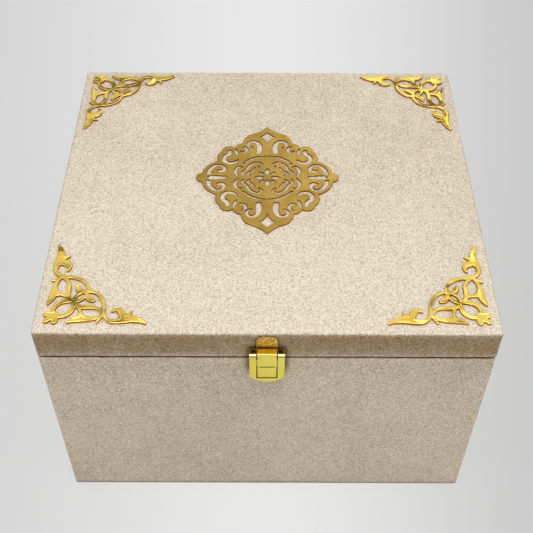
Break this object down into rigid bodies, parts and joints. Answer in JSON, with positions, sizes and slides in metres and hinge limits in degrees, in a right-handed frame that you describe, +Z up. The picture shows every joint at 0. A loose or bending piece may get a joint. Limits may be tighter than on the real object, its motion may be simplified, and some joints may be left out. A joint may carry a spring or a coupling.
{
  "type": "velvet covered book box",
  "caption": "Hinged rectangular book box covered in velvet, padded inside, with cast scrollwork on the lid corners, a pierced medallion and a sprung front latch.",
  "frame": {"origin": "centre of the underside, where the box stands", "axes": "+X to the right seen from the latch, +Y to the hinges, +Z up"},
  "size_m": [0.3, 0.2768, 0.2018],
  "materials": {
    "velvet": "short pile cream velvet glued over the boards",
    "lining_cloth": "cream lining cloth over thin foam",
    "underside_felt": "thin felt sheet glued to the underside",
    "fibreboard": "raw fibreboard, hidden under the cloth",
    "cast_gold_plate": "bright gold plated casting",
    "medallion_gold_plate": "gold plated pierced casting, a little darker",
    "latch_gold_plate": "polished gold plated sheet metal",
    "steel": "bright steel"
  },
  "bodies": {
    "base": {"base_floor_panel": "fibreboard", "base_front_panel": "fibreboard", "base_back_panel": "fibreboard", "base_left_panel": "fibreboard", "base_right_panel": "fibreboard", "base_velvet_cover": "velvet", "base_underside_sheet": "underside_felt", "base_wall_lining": "lining_cloth", "base_floor_pad": "lining_cloth", "hinge_left_lower_leaf": "latch_gold_plate", "hinge_left_pin": "steel", "hinge_right_lower_leaf": "latch_gold_plate", "hinge_right_pin": "steel", "latch_back_plate": "latch_gold_plate", "latch_case": "latch_gold_plate", "latch_spring": "steel", "latch_pin": "steel"},
    "lid": {"lid_top_panel": "fibreboard", "lid_front_panel": "fibreboard", "lid_back_panel": "fibreboard", "lid_left_panel": "fibreboard", "lid_right_panel": "fibreboard", "lid_velvet_cover": "velvet", "lid_wall_lining": "lining_cloth", "lid_inner_pad": "lining_cloth", "corner_ornament_front_left": "cast_gold_plate", "corner_ornament_front_right": "cast_gold_plate", "corner_ornament_back_left": "cast_gold_plate", "corner_ornament_back_right": "cast_gold_plate", "lid_medallion": "medallion_gold_plate", "hinge_left_upper_leaf": "latch_gold_plate", "hinge_right_upper_leaf": "latch_gold_plate", "latch_strike": "latch_gold_plate"},
    "latch_tongue": {"latch_tongue": "latch_gold_plate"}
  },
  "joints": [
    {"name": "lid_hinge", "type": "hinge", "parent": "base", "child": "lid", "pos_m": [0, 0.1352, 0.1736], "axis": [-1, 0, 0], "range_deg": [0, 180]},
    {"name": "latch_press", "type": "hinge", "parent": "base", "child": "latch_tongue", "pos_m": [0, -0.1377, 0.1724], "axis": [1, 0, 0], "range_deg": [0, 8], "stiffness_Nm_per_rad": 0.2, "springref_deg": -2.86}
  ]
}
